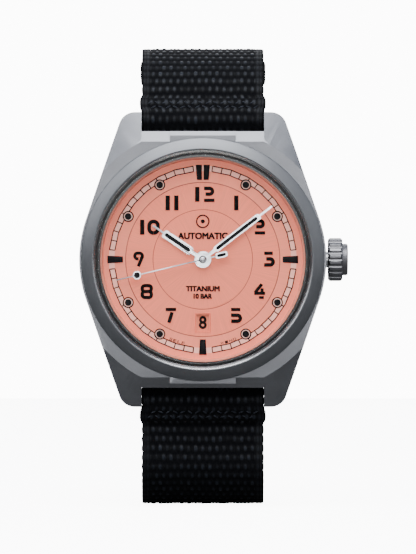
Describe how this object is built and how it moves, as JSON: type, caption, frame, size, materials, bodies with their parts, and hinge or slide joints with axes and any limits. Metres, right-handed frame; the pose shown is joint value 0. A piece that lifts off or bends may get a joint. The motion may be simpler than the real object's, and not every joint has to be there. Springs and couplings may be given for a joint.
{
  "type": "wristwatch",
  "caption": "Round field wristwatch with an automatic movement, date window, screw-shut case, fluted crown and a woven nylon strap with a pin buckle.",
  "frame": {"origin": "centre of the case back's outer face", "axes": "+Z towards 12 o'clock, +X towards the crown, -Y out of the dial towards the reader, +Y towards the wrist"},
  "size_m": [0.0437, 0.0691, 0.0752],
  "materials": {
    "titanium": "bead blasted grey titanium",
    "titanium_polished": "finely machined titanium",
    "steel": "fine steel",
    "sapphire": "clear sapphire crystal",
    "gasket": "black seal",
    "rehaut": "satin salmon flange",
    "dial": "salmon pink dial, finely brushed",
    "marker": "black filled markers",
    "hand": "satin silver hands",
    "hand_inlay": "black filled inlay",
    "brass": "gilt brass",
    "nickel": "rhodium plated plates",
    "spacer": "moulded movement ring",
    "date": "salmon date disc",
    "nylon": "woven near-black navy nylon"
  },
  "bodies": {
    "case": {"mid_case": "titanium", "bezel": "titanium", "crystal": "sapphire", "crystal_gasket": "gasket", "rehaut_ring": "rehaut", "dial": "dial", "hour_markers": "marker", "movement_ring": "spacer", "movement_clamps": "steel", "clamp_screws": "steel", "main_plate": "nickel", "barrel_bridge": "nickel", "train_bridge": "nickel", "balance_cock": "nickel", "bridge_screws": "steel", "crown_tube": "titanium_polished", "case_back": "titanium", "case_back_gasket": "gasket", "case_back_screws": "steel", "spring_bar_upper": "steel", "spring_bar_lower": "steel", "hairspring": "steel", "rotor_bearing": "steel", "setting_lever": "steel"},
    "seconds": {"seconds_hand": "hand", "seconds_hand_inlay": "hand_inlay", "fourth_wheel": "brass"},
    "minutes": {"minute_hand": "hand", "minute_hand_inlay": "hand_inlay", "cannon_pinion": "steel", "centre_wheel": "brass"},
    "hours": {"hour_hand": "hand", "hour_hand_inlay": "hand_inlay", "hour_wheel": "brass"},
    "motion_work": {"minute_wheel": "brass"},
    "mainspring_barrel": {"barrel": "brass"},
    "third": {"third_wheel": "brass"},
    "escape": {"escape_wheel": "steel"},
    "fork": {"pallet_fork": "steel"},
    "balance": {"balance_wheel": "brass"},
    "winding_rotor": {"rotor": "nickel"},
    "date": {"date_disc": "date"},
    "keyless": {"sliding_pinion": "steel", "winding_pinion": "steel"},
    "crown_stem": {"crown": "titanium_polished", "winding_stem": "steel", "crown_gasket": "gasket"},
    "upper_half": {"strap_upper": "nylon", "keeper_fixed": "nylon"},
    "lower_half": {"strap_lower": "nylon"},
    "free_keeper": {"keeper_free": "nylon"},
    "buckle": {"buckle_frame": "titanium", "buckle_bar": "steel"},
    "tongue": {"buckle_tongue": "titanium_polished"},
    "tip_upper_left": {"spring_bar_tip_upper_left": "steel"},
    "tip_upper_right": {"spring_bar_tip_upper_right": "steel"},
    "tip_lower_left": {"spring_bar_tip_lower_left": "steel"},
    "tip_lower_right": {"spring_bar_tip_lower_right": "steel"}
  },
  "joints": [
    {"name": "seconds_turn", "type": "hinge", "parent": "case", "child": "seconds", "pos_m": [0, 0, 0], "axis": [0, 1, 0], "continuous": true},
    {"name": "minutes_turn", "type": "hinge", "parent": "case", "child": "minutes", "pos_m": [0, 0, 0], "axis": [0, 1, 0], "continuous": true},
    {"name": "hours_turn", "type": "hinge", "parent": "case", "child": "hours", "pos_m": [0, 0, 0], "axis": [0, 1, 0], "continuous": true},
    {"name": "motion_work_turn", "type": "hinge", "parent": "case", "child": "motion_work", "pos_m": [0.00162, 0, 0.00281], "axis": [0, 1, 0], "continuous": true},
    {"name": "barrel_turn", "type": "hinge", "parent": "case", "child": "mainspring_barrel", "pos_m": [-0.004, 0, 0.004], "axis": [0, 1, 0], "continuous": true},
    {"name": "third_turn", "type": "hinge", "parent": "case", "child": "third", "pos_m": [0.00279, 0, 0.00279], "axis": [0, 1, 0], "continuous": true},
    {"name": "escape_turn", "type": "hinge", "parent": "case", "child": "escape", "pos_m": [0.00104, 0, -0.00387], "axis": [0, 1, 0], "continuous": true},
    {"name": "fork_swing", "type": "hinge", "parent": "case", "child": "fork", "pos_m": [-0.00155, 0, -0.00481], "axis": [0, 1, 0], "range_deg": [-5, 5]},
    {"name": "balance_swing", "type": "hinge", "parent": "case", "child": "balance", "pos_m": [-0.00469, 0, -0.00596], "axis": [0, 1, 0], "range_deg": [-150, 150]},
    {"name": "rotor_turn", "type": "hinge", "parent": "case", "child": "winding_rotor", "pos_m": [0, 0, 0], "axis": [0, 1, 0], "continuous": true},
    {"name": "date_turn", "type": "hinge", "parent": "case", "child": "date", "pos_m": [0, 0, 0], "axis": [0, 1, 0], "continuous": true},
    {"name": "crown_turn", "type": "hinge", "parent": "case", "child": "keyless", "pos_m": [0.02, -0.00405, 0], "axis": [1, 0, 0], "continuous": true},
    {"name": "crown_pull", "type": "slide", "parent": "keyless", "child": "crown_stem", "axis": [1, 0, 0], "range_m": [0, 0.0013]},
    {"name": "upper_half_swing", "type": "hinge", "parent": "case", "child": "upper_half", "pos_m": [0, -0.0025, 0.0229], "axis": [1, 0, 0], "range_deg": [0, 65]},
    {"name": "lower_half_swing", "type": "hinge", "parent": "case", "child": "lower_half", "pos_m": [0, -0.0025, -0.0229], "axis": [-1, 0, 0], "range_deg": [0, 65]},
    {"name": "keeper_slide", "type": "slide", "parent": "upper_half", "child": "free_keeper", "axis": [0, 0.9925, -0.1219], "range_m": [-0.012, 0.002]},
    {"name": "buckle_swing", "type": "hinge", "parent": "upper_half", "child": "buckle", "pos_m": [0, 0.05669, 0.01579], "axis": [1, 0, 0], "range_deg": [-20, 75]},
    {"name": "tongue_swing", "type": "hinge", "parent": "buckle", "child": "tongue", "pos_m": [0, 0.05669, 0.01579], "axis": [1, 0, 0], "range_deg": [0, 50]},
    {"name": "tip_upper_left_push", "type": "slide", "parent": "case", "child": "tip_upper_left", "axis": [1, 0, 0], "range_m": [0, 0.001], "stiffness_N_per_m": 300, "springref_m": -0.0005},
    {"name": "tip_upper_right_push", "type": "slide", "parent": "case", "child": "tip_upper_right", "axis": [-1, 0, 0], "range_m": [0, 0.001], "stiffness_N_per_m": 300, "springref_m": -0.0005},
    {"name": "tip_lower_left_push", "type": "slide", "parent": "case", "child": "tip_lower_left", "axis": [1, 0, 0], "range_m": [0, 0.001], "stiffness_N_per_m": 300, "springref_m": -0.0005},
    {"name": "tip_lower_right_push", "type": "slide", "parent": "case", "child": "tip_lower_right", "axis": [-1, 0, 0], "range_m": [0, 0.001], "stiffness_N_per_m": 300, "springref_m": -0.0005}
  ],
  "couplings": [
    {"joint": "minutes_turn", "follows": "seconds_turn", "ratio": 0.016667},
    {"joint": "hours_turn", "follows": "seconds_turn", "ratio": 0.0013889},
    {"joint": "motion_work_turn", "follows": "seconds_turn", "ratio": -0.0055556},
    {"joint": "third_turn", "follows": "seconds_turn", "ratio": -0.1291},
    {"joint": "escape_turn", "follows": "seconds_turn", "ratio": -10},
    {"joint": "barrel_turn", "follows": "seconds_turn", "ratio": -0.0027778}
  ]
}
